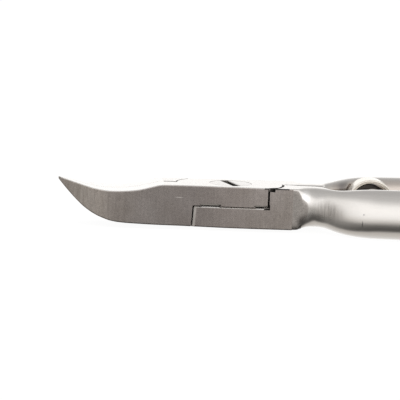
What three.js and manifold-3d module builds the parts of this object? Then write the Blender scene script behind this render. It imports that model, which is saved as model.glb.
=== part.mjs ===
// Lap-jointed cuticle and nail nipper, lying flat with its jaws closed.
// Millimetres, +Z up. X runs along the tool, jaws at -X and handles at +X; Y runs across it.
// The working frame below has the pivot axis at X = 0, Y = 0 and the lap's parting plane at Z = 0;
// the exported group shifts it so that the origin is under the middle of the tool, at its lowest point.
import * as THREE from "three";
import { mergeVertices } from "three/addons/utils/BufferGeometryUtils.js";
import Module from "manifold-3d";

// ---- Driving dimensions ------------------------------------------------------------------
const TIP_X = -27.5; // cutting tip
const END_X = 99.5; // end of the handles
const HEAD_Z = 3.2; // half thickness of the joint block
const HANDLE_Z = 3.9; // half height of the handles
const LAP_GAP = 0.05; // half the gap between the two laps
const MID_GAP = 0.04; // half the gap between the closed halves on the centre plane
const TOP_FRONT_R = 8.55; // round front edge of the upper lap
const TOP_REAR_R = 8.25; // round rear edge of the upper lap
const LAP_CLEAR = 0.2; // running gap round the laps
const LOW_R_TOP = 7.3; // lower lap's round edge at the parting plane
const LOW_R_BOTTOM = 7.45; // and at its underside
const LAP_CORNER_X = 5.6; // where the upper lap's rear corner meets the near face
const NOTCH_X = 6.75; // relief cut in the near shoulder
const NOTCH_Z = 2.62;
const SCREW_HEAD_R = 3.3;
const SCREW_HEAD_Z = 1.4; // underside of the head
const SCREW_R = 2.2;
const SCREW_FIT = 0.07;
const SLOT_W = 1.3;
const SLOT_DEPTH = 0.9;
const SLOT_TURN = 15; // degrees from the Y axis
const SPRING_X = 22.9;
const SPRING_Z = 0.3; // the spring stands a little above the handles' middle
const STRIP = 0.56; // thickness of the spring's flat strip
const STRIP_WIDTH = 3.9;
const STRIP_TURNS = 2.05;
const STRIP_FLUSH = 0.52; // turns of the strip that lie flat against the far handle
const STRIP_R_OUT = 3.65; // middle of the strip in the outermost turn, on the far handle
const STRIP_R_IN = 1.3; // and in the innermost turn, on the near handle
const STRIP_START = -29; // direction of the strip's outer end, degrees from +X
const SPRING_HALF = 5.15; // half length, closed
const SEAT_Y = 5.45; // flat seat in each handle under the spring's ends
const FAR_SEAT_R = 4.15;
const NEAR_SEAT_R = 2.0;
const FAR_STUD_R = 2.9;
const NEAR_STUD_R = 0.8;
const STUD_SHANK_R = 0.8;
const LOCK_X = 92;
const LOCK_Y = 8.2; // lock rivet at -Y, catch pin at +Y
const LOCK_SLOT = 1.0; // half width of the slots in the handle ends
const LOCK_HALF = 0.7; // half thickness of the lock lever
const LOCK_W = 1.9; // half width of the lever
const LOCK_REST = 165; // direction of the folded lever, degrees from +X
const PIN_R = 1.2;
const PIN_FIT = 0.07;
const ORIGIN = [(TIP_X + END_X) / 2, 0, -HANDLE_Z];

// ---- Helpers -----------------------------------------------------------------------------
const wasm = await Module();
wasm.setup();

function solid(geometry) {
  const plain = geometry.index ? geometry.toNonIndexed() : geometry.clone();
  const bare = new THREE.BufferGeometry();
  bare.setAttribute("position", plain.getAttribute("position"));
  const merged = mergeVertices(bare, 1e-5);
  const make = (tri) =>
    new wasm.Manifold(
      new wasm.Mesh({
        numProp: 3,
        vertProperties: new Float32Array(merged.attributes.position.array),
        triVerts: tri,
      }),
    );
  const tri = new Uint32Array(merged.index.array);
  let out = make(tri);
  if (out.volume() < 0) {
    for (let i = 0; i < tri.length; i += 3)
      [tri[i + 1], tri[i + 2]] = [tri[i + 2], tri[i + 1]];
    out = make(tri);
  }
  return out;
}

function geometryOf(body) {
  const mesh = body.getMesh();
  const positions = new Float32Array(mesh.numVert * 3);
  for (let i = 0; i < mesh.numVert; i++)
    for (let k = 0; k < 3; k++)
      positions[3 * i + k] = mesh.vertProperties[i * mesh.numProp + k];
  const indexed = new THREE.BufferGeometry();
  indexed.setAttribute("position", new THREE.BufferAttribute(positions, 3));
  indexed.setIndex(new THREE.BufferAttribute(new Uint32Array(mesh.triVerts), 1));
  const flat = indexed.toNonIndexed();
  flat.computeVertexNormals();
  return flat;
}

// Straight-line interpolation in a table of [x, value] rows.
function table(rows, x) {
  if (x <= rows[0][0]) return rows[0][1];
  for (let i = 1; i < rows.length; i++) {
    if (x <= rows[i][0]) {
      const [x0, v0] = rows[i - 1];
      const [x1, v1] = rows[i];
      return v0 + ((v1 - v0) * (x - x0)) / (x1 - x0);
    }
  }
  return rows[rows.length - 1][1];
}

// A closed body through rings of points; every ring has the same number of points.
function loft(rings) {
  const n = rings[0].length;
  const verts = rings.flat();
  const tri = [];
  for (let r = 0; r + 1 < rings.length; r++)
    for (let i = 0; i < n; i++) {
      const a = r * n + i;
      const b = r * n + ((i + 1) % n);
      tri.push(a, b, b + n, a, b + n, a + n);
    }
  for (const [r, turn] of [
    [0, true],
    [rings.length - 1, false],
  ]) {
    const ring = rings[r];
    const centre = [0, 1, 2].map((k) => ring.reduce((s, p) => s + p[k], 0) / n);
    const c = verts.push(centre) - 1;
    for (let i = 0; i < n; i++) {
      const a = r * n + i;
      const b = r * n + ((i + 1) % n);
      if (turn) tri.push(c, b, a);
      else tri.push(c, a, b);
    }
  }
  const g = new THREE.BufferGeometry();
  g.setAttribute("position", new THREE.Float32BufferAttribute(verts.flat(), 3));
  g.setIndex(tri);
  return g;
}

function prism(points, z0, z1) {
  const shape = new THREE.Shape(points.map(([x, y]) => new THREE.Vector2(x, y)));
  const g = new THREE.ExtrudeGeometry(shape, { depth: z1 - z0, bevelEnabled: false });
  g.translate(0, 0, z0);
  return solid(g);
}

function box(x0, x1, y0, y1, z0, z1) {
  const g = new THREE.BoxGeometry(x1 - x0, y1 - y0, z1 - z0);
  g.translate((x0 + x1) / 2, (y0 + y1) / 2, (z0 + z1) / 2);
  return solid(g);
}

// A body turned about Z from a profile of [radius, z] rows that starts and ends on the axis.
function turned(profile, segments, x = 0, y = 0) {
  const g = new THREE.LatheGeometry(
    profile.map(([r, z]) => new THREE.Vector2(r, z)),
    segments,
  );
  g.rotateX(Math.PI / 2);
  g.translate(x, y, 0);
  return solid(g);
}

// A body turned about the spring's line, along Y through (x, SPRING_Z), from rows of [radius, y].
function turnedY(profile, segments, x) {
  const g = new THREE.LatheGeometry(
    profile.map(([r, y]) => new THREE.Vector2(r, y)),
    segments,
  );
  g.translate(x, 0, SPRING_Z);
  return solid(g);
}

const arc = (r, from, to, steps) =>
  Array.from({ length: steps + 1 }, (_, i) => {
    const t = THREE.MathUtils.degToRad(from + ((to - from) * i) / steps);
    return [r * Math.cos(t), r * Math.sin(t)];
  });

// ---- Jaws and joint block ----------------------------------------------------------------
const HALF_WIDTH = [
  [-27.5, 0.17],
  [-26.9, 0.6],
  [-26.2, 1.12],
  [-24.8, 2.0],
  [-23.2, 2.85],
  [-21.6, 3.6],
  [-20.2, 4.2],
  [-19.0, 4.5],
  [-17.5, 4.6],
  [-11.0, 4.52],
  [-6.5, 4.35],
  [0.0, 4.75],
  [7.0, 4.95],
  [11.0, 4.95],
];
const TOP = [
  [-27.5, 3.5],
  [-26.2, 3.2],
  [-24.8, 2.88],
  [-23.2, 2.5],
  [-21.6, 2.17],
  [-19.2, 1.98],
  [-17.3, 2.05],
  [-15.2, 2.25],
  [-13.8, 2.55],
  [-12.4, 2.93],
  [-11.4, 3.16],
  [-10.7, 3.2],
  [11.0, 3.2],
];
const BOTTOM = [
  [-27.5, 3.15],
  [-26.9, 2.44],
  [-26.2, 1.69],
  [-24.8, 0.3],
  [-23.2, -1.05],
  [-21.6, -1.98],
  [-20.2, -2.51],
  [-19.2, -2.79],
  [-17.3, -3.03],
  [-15.2, -3.13],
  [-12.0, -3.23],
  [-9.0, -3.28],
  [-5.0, -3.36],
  [0.0, -3.4],
  [11.0, -3.4],
];
const HEAD_STATIONS = [
  -27.5, -26.9, -26.2, -25.5, -24.8, -24.0, -23.2, -22.4, -21.6, -20.9, -20.2, -19.2, -18.2,
  -17.3, -16.2, -15.2, -14.5, -13.8, -13.1, -12.4, -11.9, -11.4, -10.7, -9.6, -6.5, 0, 7, 10.4,
];

function headRing(x) {
  const w = table(HALF_WIDTH, x);
  const top = table(TOP, x);
  const low = table(BOTTOM, x);
  const c = Math.min(0.18, 0.25 * w, 0.2 * (top - low));
  const d = Math.min(0.4, 0.35 * w, 0.25 * (top - low));
  return [
    [x, -w + c, top],
    [x, w - c, top],
    [x, w, top - c],
    [x, w, low + d],
    [x, w - d, low],
    [x, -w + d, low],
    [x, -w, low + d],
    [x, -w, top - c],
  ];
}
const head = solid(loft(HEAD_STATIONS.map(headRing)));

// Hollow between the jaws behind their cutting edges, open underneath.
const hollow = solid(
  loft(
    [
      [-25.6, 0.1],
      [-24.6, 0.35],
      [-23.2, 0.8],
      [-21.4, 1.25],
      [-19.0, 1.6],
      [-15.0, 1.7],
      [-12.6, 1.45],
      [-11.2, 0.95],
      [-10.4, 0.3],
    ].map(([x, w]) => {
      const top = table(TOP, x);
      const low = table(BOTTOM, x);
      const apex = top - 0.4 - 0.1 * w;
      const knee = apex - 0.9 * w;
      return [
        [x, -w, low - 1],
        [x, w, low - 1],
        [x, w, knee],
        [x, 0.35 * w, apex],
        [x, -0.35 * w, apex],
        [x, -w, knee],
      ];
    }),
  ),
);

// ---- Handles -----------------------------------------------------------------------------
// x, inner face, outer face, top, bottom, squareness of the inner and outer sides
const HANDLE = [
  [8.6, 0.04, 4.9, 3.14, -3.34, 16, 16],
  [10.3, 0.04, 4.95, 3.2, -3.38, 16, 14],
  [10.8, 0.04, 4.95, 3.2, -3.33, 13, 6.5],
  [11.3, 0.04, 4.93, 3.2, -3.24, 11, 4],
  [11.8, 0.04, 4.9, 3.2, -3.14, 10, 3],
  [12.5, 0.04, 4.82, 3.2, -3.05, 9, 2.6],
  [13.3, 0.04, 4.88, 3.2, -3.02, 8, 2.4],
  [14, 0.045, 5.08, 3.18, -3.04, 7, 2.3],
  [14.7, 0.06, 5.5, 3.16, -3.1, 6, 2.25],
  [15.6, 1.35, 6.4, 3.14, -3.24, 3, 2.2],
  [16.6, 2.7, 7.5, 3.18, -3.44, 3, 2.15],
  [17.6, 3.6, 8.45, 3.3, -3.59, 3, 2.1],
  [18.6, 4.2, 9.15, 3.46, -3.71, 3, 2.1],
  [20, 4.7, 9.8, 3.66, -3.82, 3, 2.1],
  [22, 5.1, 10.3, 3.82, -3.89, 3, 2.1],
  [24.5, 5.35, 10.6, 3.88, -3.9, 3, 2.1],
  [28, 5.65, 10.95, 3.9, -3.9, 3, 2.1],
  [33, 6.1, 11.45, 3.9, -3.9, 3, 2.1],
  [40, 6.75, 12.1, 3.9, -3.9, 3, 2.1],
  [48, 7.35, 12.7, 3.9, -3.9, 3, 2.1],
  [56, 7.6, 12.95, 3.9, -3.9, 3, 2.1],
  [65, 7.45, 12.8, 3.9, -3.9, 3, 2.1],
  [75, 6.95, 12.2, 3.85, -3.85, 3, 2.1],
  [84, 6.3, 11.45, 3.75, -3.75, 3, 2.1],
  [91, 5.75, 10.75, 3.6, -3.6, 3, 2.1],
  [95, 5.5, 10.25, 3.4, -3.4, 3, 2.1],
  [97.4, 5.6, 9.9, 2.95, -2.95, 2.6, 2.1],
  [98.8, 6, 9.3, 2.3, -2.3, 2.3, 2.1],
  [99.5, 6.8, 8.4, 1.5, -1.5, 2, 2],
];
const HANDLE_POINTS = 24;

// Height of the handle's widest line: lower than the middle along the grip.
const EQUATOR = [
  [11.5, 0],
  [16.5, -1.0],
  [90, -1.0],
  [99.5, 0],
];

function handleBody(side) {
  const rings = HANDLE.map(([x, inner, outer, top, bottom, ni, no]) => {
    const mid = (inner + outer) / 2;
    const half = (outer - inner) / 2;
    const z0 = table(EQUATOR, x);
    const ring = Array.from({ length: HANDLE_POINTS }, (_, i) => {
      const t = (2 * Math.PI * (i + 0.5)) / HANDLE_POINTS;
      const c = Math.cos(t);
      const s = Math.sin(t);
      const n = c < 0 ? ni : no;
      const y = mid + half * Math.sign(c) * Math.abs(c) ** (2 / n);
      return [x, side * y, Math.sign(s) * Math.abs(s) ** (2 / n)];
    });
    // The extreme points of each ring reach the stated height.
    const reach = Math.max(...ring.map((p) => p[2]));
    for (const p of ring) p[2] = z0 + ((p[2] > 0 ? top - z0 : z0 - bottom) * p[2]) / reach;
    return ring;
  });
  return solid(loft(rings));
}

// ---- Lap joint ---------------------------------------------------------------------------
const BIG = 30;
const nearJaw = box(-BIG, 0.5, -BIG, -MID_GAP, -BIG, BIG);
const farJaw = box(-BIG, 0.5, MID_GAP, BIG, -BIG, BIG);
const nearRear = box(-0.5, BIG, -BIG, -MID_GAP, -BIG, BIG);
const farRear = box(-0.5, BIG, MID_GAP, BIG, -BIG, BIG);

// Round the front the lap comes nearer the pivot away from the centre line, so it opens freely.
function upperLapPlan(front, rear, corner) {
  return [
    ...arc(front, 180, 90, 18).map(([x, y], i) => {
      const k = 1 - 0.1 * THREE.MathUtils.smoothstep(i * 5, 2, 32);
      return [x * k, y * k];
    }),
    [rear, front * 0.9],
    ...arc(rear, 0, -28, 6),
    [corner, -4.87],
    [corner, -12],
    [-front, -12],
  ];
}
const upperLap = prism(upperLapPlan(TOP_FRONT_R, TOP_REAR_R, LAP_CORNER_X), LAP_GAP, BIG);
const upperRecess = prism(
  upperLapPlan(TOP_FRONT_R + LAP_CLEAR, TOP_REAR_R + LAP_CLEAR, LAP_CORNER_X + 0.3),
  -LAP_GAP,
  BIG,
);
const lowerCone = (extra) =>
  turned(
    [
      [0, -6],
      [LOW_R_BOTTOM + extra + ((LOW_R_BOTTOM - LOW_R_TOP) * 2.8) / 3.2, -6],
      [LOW_R_TOP + extra, extra ? LAP_GAP : -LAP_GAP],
      [0, extra ? LAP_GAP : -LAP_GAP],
    ],
    64,
  );
const lowerLap = lowerCone(0);
const lowerRecess = lowerCone(0.25);
const above = (z) => box(-BIG, BIG, -BIG, BIG, z, BIG);
const below = (z) => box(-BIG, BIG, -BIG, BIG, -BIG, z);

const upperHead = head
  .intersect(nearJaw.add(farRear).subtract(lowerRecess).add(upperLap))
  .subtract(lowerRecess);
const lowerHead = head
  .intersect(farJaw.add(nearRear).subtract(upperRecess).add(lowerLap))
  .subtract(upperRecess)
  .subtract(box(0, NOTCH_X, -12, -3, NOTCH_Z, 10));

// ---- Slots, seats and holes --------------------------------------------------------------
const boreZ = (r, z0, z1, x, y, n) =>
  turned(
    [
      [0, z0],
      [r, z0],
      [r, z1],
      [0, z1],
    ],
    n,
    x,
    y,
  );
const boreY = (r, y0, y1, x, n) =>
  turnedY(
    [
      [0, y0],
      [r, y0],
      [r, y1],
      [0, y1],
    ],
    n,
    x,
  );
const screwHole = boreZ(SCREW_R + SCREW_FIT, -10, 10, 0, 0, 48);
const headHole = boreZ(SCREW_HEAD_R + SCREW_FIT, SCREW_HEAD_Z - SCREW_FIT, 10, 0, 0, 48);
const pinHole = (y) => boreZ(PIN_R + PIN_FIT, -10, 10, LOCK_X, y, 24);
const endSlot = (side, x0) => {
  const reach = side > 0 ? [2, 20] : [-20, -2];
  return box(x0, 110, ...reach, -LOCK_SLOT, LOCK_SLOT);
};
// The near handle is also slotted along its inner side, where the folded lever lies.
const foldSlot = box(77, 90, -9.2, -2, -LOCK_SLOT, LOCK_SLOT);
// The far handle is slotted along its inner side too, where the lever's hook swings in.
const hookSlot = box(78.9, 90, 2, 10.5, -LOCK_SLOT, LOCK_SLOT);
const seat = (side) =>
  side > 0
    ? boreY(FAR_SEAT_R, 0, SEAT_Y, SPRING_X, 40)
    : boreY(NEAR_SEAT_R, -SEAT_Y, 0, SPRING_X, 32);
const studHole = (side) =>
  side > 0
    ? boreY(STUD_SHANK_R + 0.06, 0, SEAT_Y + 2.6, SPRING_X, 24)
    : boreY(STUD_SHANK_R + 0.06, -SEAT_Y - 2.6, 0, SPRING_X, 24);

const upperHalf = upperHead
  .add(handleBody(1))
  .subtract(lowerRecess)
  .subtract(hollow)
  .subtract(screwHole)
  .subtract(headHole)
  .subtract(seat(1))
  .subtract(studHole(1))
  .subtract(endSlot(1, 85))
  .subtract(hookSlot)
  .subtract(pinHole(LOCK_Y));
const lowerHalf = lowerHead
  .add(handleBody(-1))
  .subtract(upperRecess.intersect(above(-LAP_GAP)))
  .subtract(box(0, NOTCH_X, -12, -3, NOTCH_Z, 10))
  .subtract(hollow)
  .subtract(screwHole)
  .subtract(seat(-1))
  .subtract(studHole(-1))
  .subtract(endSlot(-1, 87))
  .subtract(foldSlot)
  .subtract(pinHole(-LOCK_Y));

// ---- Pivot screw -------------------------------------------------------------------------
const slotGeometry = new THREE.BoxGeometry(SLOT_W, 12, 4);
slotGeometry.translate(0, 0, HEAD_Z - SLOT_DEPTH + 2);
slotGeometry.rotateZ(THREE.MathUtils.degToRad(SLOT_TURN));
const pivotScrew = turned(
  [
    [0, -HEAD_Z + 0.05],
    [SCREW_R - 0.25, -HEAD_Z + 0.05],
    [SCREW_R, -HEAD_Z + 0.3],
    [SCREW_R, SCREW_HEAD_Z],
    [SCREW_HEAD_R, SCREW_HEAD_Z],
    [SCREW_HEAD_R, HEAD_Z - 0.2],
    [SCREW_HEAD_R - 0.15, HEAD_Z - 0.03],
    [0, HEAD_Z - 0.03],
  ],
  48,
).subtract(solid(slotGeometry));

// ---- Volute spring and its studs ---------------------------------------------------------
// Flat strip wound on edge: the outer turn lies flat against the far handle, then each turn lies
// inside the last and nearer the near handle.
function stripRing(t) {
  const u = STRIP_TURNS * t;
  const f = Math.max(0, (u - STRIP_FLUSH) / (STRIP_TURNS - STRIP_FLUSH));
  const r = STRIP_R_OUT + (STRIP_R_IN - STRIP_R_OUT) * f;
  const mid = (SPRING_HALF - STRIP_WIDTH / 2) * (1 - 2 * f);
  const a = 2 * Math.PI * u + THREE.MathUtils.degToRad(STRIP_START);
  const h = STRIP / 2;
  const w = STRIP_WIDTH / 2;
  return [
    [r + h, mid - w],
    [r + h, mid + w],
    [r - h, mid + w],
    [r - h, mid - w],
  ].map(([q, y]) => [SPRING_X + q * Math.cos(a), y, SPRING_Z + q * Math.sin(a)]);
}
const STRIP_STEPS = 96;
const voluteSpring = solid(
  loft(Array.from({ length: STRIP_STEPS + 1 }, (_, i) => stripRing(i / STRIP_STEPS))),
);

function stud(side, r, rise) {
  const rows = [
    [0, SEAT_Y + 2.5],
    [STUD_SHANK_R, SEAT_Y + 2.5],
    [STUD_SHANK_R, SEAT_Y - 0.05],
    [r + 0.001, SEAT_Y - 0.05],
    [r, SEAT_Y - rise + 0.2],
    [r - 0.2, SEAT_Y - rise],
    [0, SEAT_Y - rise],
  ].map(([q, y]) => [q, side * y]);
  return turnedY(rows, 32, SPRING_X);
}

// ---- Handle lock -------------------------------------------------------------------------
function pin() {
  return (y) =>
    turned(
      [
        [0, -3.3],
        [PIN_R - 0.15, -3.3],
        [PIN_R, -3.15],
        [PIN_R, 3.15],
        [PIN_R - 0.15, 3.3],
        [0, 3.3],
      ],
      24,
      LOCK_X,
      y,
    );
}
const lockPin = pin();

// The lever is drawn latched, pointing along +Y from its rivet, then turned to its folded place.
const span = 2 * LOCK_Y;
const leverPlan = [
  ...arc(LOCK_W, 180, 360, 12),
  [LOCK_W, span - 4.2],
  [2.5, span - 2.4],
  [2.5, span - 1.45],
  [0.15, span - 1.45],
  ...arc(1.45, -90, -270, 10).map(([x, y]) => [0.15 + x * 0.999, span + y * 0.999]),
  [2.3, span + 1.45],
  [2.3, span + 2.3],
  [1.6, span + 3.0],
  [-1.0, span + 3.0],
  [-2.2, span + 1.9],
  [-2.3, span - 2.4],
  [-LOCK_W, span - 4.2],
];
const leverShape = new THREE.Shape(leverPlan.map(([x, y]) => new THREE.Vector2(x, y)));
const leverGeometry = new THREE.ExtrudeGeometry(leverShape, {
  depth: 2 * LOCK_HALF,
  bevelEnabled: false,
});
leverGeometry.translate(0, 0, -LOCK_HALF);
leverGeometry.rotateZ(THREE.MathUtils.degToRad(LOCK_REST - 90));
leverGeometry.translate(LOCK_X, -LOCK_Y, 0);
const lockLever = solid(leverGeometry).subtract(
  boreZ(PIN_R + PIN_FIT, -5, 5, LOCK_X, -LOCK_Y, 24),
);

// ---- Scene graph -------------------------------------------------------------------------
const steel = (color, roughness, metalness = 1) =>
  new THREE.MeshStandardMaterial({ color, roughness, metalness });
const finishes = {
  upper_half: steel(0xb4aea6, 0.42),
  lower_half: steel(0xb9b3ab, 0.4),
  pivot_screw: steel(0xcfcac2, 0.3),
  volute_spring: steel(0xe2dccf, 0.25),
  near_spring_stud: steel(0xa9a39a, 0.38),
  far_spring_stud: steel(0xa8a299, 0.38),
  lock_lever: steel(0xbfbab2, 0.36),
  lock_rivet: steel(0xc9c4bc, 0.32),
  catch_pin: steel(0xc8c3bb, 0.32),
};

function part(name, body) {
  const mesh = new THREE.Mesh(geometryOf(body), finishes[name]);
  mesh.name = name;
  return mesh;
}

const nipper = new THREE.Group();
nipper.name = "nipper";
nipper.position.set(-ORIGIN[0], -ORIGIN[1], -ORIGIN[2]);

const lowerGroup = new THREE.Group();
lowerGroup.name = "lower_half_group";
lowerGroup.add(
  part("lower_half", lowerHalf),
  part("pivot_screw", pivotScrew),
  part("near_spring_stud", stud(-1, NEAR_STUD_R, 2.2)),
  part("volute_spring", voluteSpring),
  part("lock_rivet", lockPin(-LOCK_Y)),
);
const upperGroup = new THREE.Group();
upperGroup.name = "upper_half_group";
upperGroup.add(
  part("upper_half", upperHalf),
  part("far_spring_stud", stud(1, FAR_STUD_R, 1.2)),
  part("catch_pin", lockPin(LOCK_Y)),
);
const lockGroup = new THREE.Group();
lockGroup.name = "lock_group";
lockGroup.add(part("lock_lever", lockLever));
nipper.add(lowerGroup, upperGroup, lockGroup);

const model = new THREE.Group();
model.name = "cuticle_nipper";
model.add(nipper);

export default model;
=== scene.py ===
import math

import bmesh
import bpy
import numpy as np
from mathutils import Matrix, Vector


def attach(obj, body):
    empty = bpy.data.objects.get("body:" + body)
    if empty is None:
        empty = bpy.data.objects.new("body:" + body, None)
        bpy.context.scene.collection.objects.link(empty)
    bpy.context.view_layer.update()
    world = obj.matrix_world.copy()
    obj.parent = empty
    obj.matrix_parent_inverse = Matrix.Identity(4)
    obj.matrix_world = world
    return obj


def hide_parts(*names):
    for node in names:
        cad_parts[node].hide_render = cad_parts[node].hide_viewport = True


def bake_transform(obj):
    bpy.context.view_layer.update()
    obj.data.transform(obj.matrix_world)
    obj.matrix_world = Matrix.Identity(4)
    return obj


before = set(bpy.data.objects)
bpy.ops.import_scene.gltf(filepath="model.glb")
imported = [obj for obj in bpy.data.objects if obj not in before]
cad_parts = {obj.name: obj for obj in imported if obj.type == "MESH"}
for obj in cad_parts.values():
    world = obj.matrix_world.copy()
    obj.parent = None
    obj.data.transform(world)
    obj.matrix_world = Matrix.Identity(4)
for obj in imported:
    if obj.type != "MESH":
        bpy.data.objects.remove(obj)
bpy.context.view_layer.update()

# Everything below is drawn in millimetres with the pivot axis at x = y = 0 and the lap's parting plane at z = 0,
# then moved into the row frame, whose origin is under the middle of the tool.
OFF = np.array([36.0, 0.0, -3.9])
TIP_X, END_X = -27.5, 99.5
HEAD_Z = 3.2
LAP_GAP = 0.05
MID_GAP = 0.04
SPRING_X, SPRING_Z = 22.9, 0.3
LOCK_X, LOCK_Y = 92.0, 8.2
LOW_R_TOP, LOW_R_BOTTOM = 7.3, 7.45
CORNER_X, NOTCH_X = 5.6, 6.75
SEAT_Y = 5.45


def rowpoint(x, y, z):
    return Vector(((x - OFF[0]) / 1000, (y - OFF[1]) / 1000, (z - OFF[2]) / 1000))


# ------------------------------------------------------------------ tables and curves
class Curve:
    """A smooth curve through [x, value] rows that doesn't overshoot them."""

    def __init__(self, rows):
        self.x = np.array([r[0] for r in rows], float)
        self.y = np.array([r[1] for r in rows], float)
        h = np.diff(self.x)
        d = np.diff(self.y) / h
        m = np.zeros(len(self.x))
        m[0], m[-1] = d[0], d[-1]
        for i in range(1, len(m) - 1):
            if d[i - 1] * d[i] > 0:
                a, b = 2 * h[i] + h[i - 1], h[i] + 2 * h[i - 1]
                m[i] = (a + b) / (a / d[i - 1] + b / d[i])
        self.m = m

    def __call__(self, x):
        x = float(min(max(x, self.x[0]), self.x[-1]))
        i = int(min(max(np.searchsorted(self.x, x) - 1, 0), len(self.x) - 2))
        h = self.x[i + 1] - self.x[i]
        t = (x - self.x[i]) / h
        return (
            (2 * t**3 - 3 * t**2 + 1) * self.y[i]
            + (t**3 - 2 * t**2 + t) * h * self.m[i]
            + (-2 * t**3 + 3 * t**2) * self.y[i + 1]
            + (t**3 - t**2) * h * self.m[i + 1]
        )


HALF_WIDTH = Curve([
    [-27.5, 0.15], [-26.9, 0.62], [-26.2, 1.12], [-24.8, 2.0], [-23.2, 2.85], [-21.6, 3.6],
    [-20.2, 4.17], [-19.0, 4.47], [-17.5, 4.6], [-11.0, 4.52], [-6.5, 4.35], [0.0, 4.72], [7.0, 4.94], [11.0, 4.95],
])
TOP = Curve([
    [-27.5, 3.5], [-26.2, 3.2], [-24.8, 2.88], [-23.2, 2.5], [-21.6, 2.17], [-19.2, 1.98], [-17.3, 2.05],
    [-15.2, 2.25], [-13.8, 2.55], [-12.4, 2.93], [-11.4, 3.16], [-10.7, 3.2], [11.0, 3.2],
])
BOTTOM = Curve([
    [-27.5, 3.15], [-26.9, 2.44], [-26.2, 1.69], [-24.8, 0.3], [-23.2, -1.05], [-21.6, -1.98], [-20.2, -2.51],
    [-19.2, -2.79], [-17.3, -3.03], [-15.2, -3.13], [-12.0, -3.23], [-9.0, -3.28], [-5.0, -3.36], [0.0, -3.4],
    [11.0, -3.4],
])
# x, inner face, outer face, top, bottom, squareness of the inner and outer sides
HANDLE_ROWS = [
    [8.6, 0.04, 4.9, 3.14, -3.34, 16, 16],
    [9.55, 0.04, 4.948, 3.199, -3.399, 16, 16],
    [10.3, 0.04, 4.95, 3.2, -3.38, 16, 14],
    [10.8, 0.04, 4.95, 3.2, -3.33, 13, 6.5],
    [11.3, 0.04, 4.93, 3.2, -3.24, 11, 4],
    [11.8, 0.04, 4.9, 3.2, -3.14, 10, 3],
    [12.5, 0.04, 4.82, 3.2, -3.05, 9, 2.6],
    [13.3, 0.04, 4.88, 3.2, -3.02, 8, 2.4],
    [14, 0.045, 5.08, 3.18, -3.04, 7, 2.3],
    [14.7, 0.06, 5.5, 3.16, -3.1, 6, 2.25],
    [15.6, 1.35, 6.4, 3.14, -3.24, 3, 2.2],
    [16.6, 2.7, 7.5, 3.18, -3.44, 3, 2.15],
    [17.6, 3.6, 8.45, 3.3, -3.59, 3, 2.1],
    [18.6, 4.2, 9.15, 3.46, -3.71, 3, 2.1],
    [20, 4.7, 9.8, 3.66, -3.82, 3, 2.1],
    [22, 5.1, 10.3, 3.82, -3.89, 3, 2.1],
    [24.5, 5.35, 10.6, 3.88, -3.9, 3, 2.1],
    [28, 5.65, 10.95, 3.9, -3.9, 3, 2.1],
    [33, 6.1, 11.45, 3.9, -3.9, 3, 2.1],
    [40, 6.75, 12.1, 3.9, -3.9, 3, 2.1],
    [48, 7.35, 12.7, 3.9, -3.9, 3, 2.1],
    [56, 7.6, 12.95, 3.9, -3.9, 3, 2.1],
    [65, 7.45, 12.8, 3.9, -3.9, 3, 2.1],
    [75, 6.95, 12.2, 3.85, -3.85, 3, 2.1],
    [84, 6.3, 11.45, 3.75, -3.75, 3, 2.1],
    [91, 5.75, 10.75, 3.6, -3.6, 3, 2.1],
    [95, 5.5, 10.25, 3.4, -3.4, 3, 2.1],
    [97.4, 5.6, 9.9, 2.95, -2.95, 2.6, 2.1],
    [98.8, 6, 9.3, 2.3, -2.3, 2.3, 2.1],
    [99.5, 6.8, 8.4, 1.5, -1.5, 2, 2],
]
HANDLE = [Curve([[r[0], r[k]] for r in HANDLE_ROWS]) for k in range(1, 7)]
# height of the handle's widest line: lower than the middle along the grip
EQUATOR = Curve([[11.5, 0.0], [14.0, -0.4], [16.5, -1.0], [22.0, -1.15], [90.0, -1.0], [99.5, 0.0]])


# ------------------------------------------------------------------ meshes in millimetres
def mesh_object(name, verts, faces):
    me = bpy.data.meshes.new(name)
    me.from_pydata([tuple(map(float, v)) for v in verts], [], faces)
    me.validate()
    ob = bpy.data.objects.new(name, me)
    bpy.context.scene.collection.objects.link(ob)
    bm = bmesh.new()
    bm.from_mesh(me)
    bmesh.ops.recalc_face_normals(bm, faces=bm.faces)
    if bm.calc_volume() < 0:
        bmesh.ops.reverse_faces(bm, faces=bm.faces)
    bm.to_mesh(me)
    bm.free()
    return ob


def loft(name, rings, cap=True):
    n = len(rings[0])
    verts = [p for ring in rings for p in ring]
    faces = []
    for r in range(len(rings) - 1):
        for i in range(n):
            a, b = r * n + i, r * n + (i + 1) % n
            faces.append((a, b, b + n, a + n))
    if cap:
        for r in (0, len(rings) - 1):
            ring = np.array(rings[r], float)
            verts.append(tuple(ring.mean(0)))
            c = len(verts) - 1
            for i in range(n):
                a, b = r * n + i, r * n + (i + 1) % n
                faces.append((c, b, a) if r == 0 else (c, a, b))
    return mesh_object(name, verts, faces)


def prism(name, plan, z0, z1):
    n = len(plan)
    verts = [(x, y, z0) for x, y in plan] + [(x, y, z1) for x, y in plan]
    faces = [(i, (i + 1) % n, n + (i + 1) % n, n + i) for i in range(n)]
    faces += [tuple(range(n - 1, -1, -1)), tuple(range(n, 2 * n))]
    return mesh_object(name, verts, faces)


def box(name, x0, x1, y0, y1, z0, z1):
    return prism(name, [(x0, y0), (x1, y0), (x1, y1), (x0, y1)], z0, z1)


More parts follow.
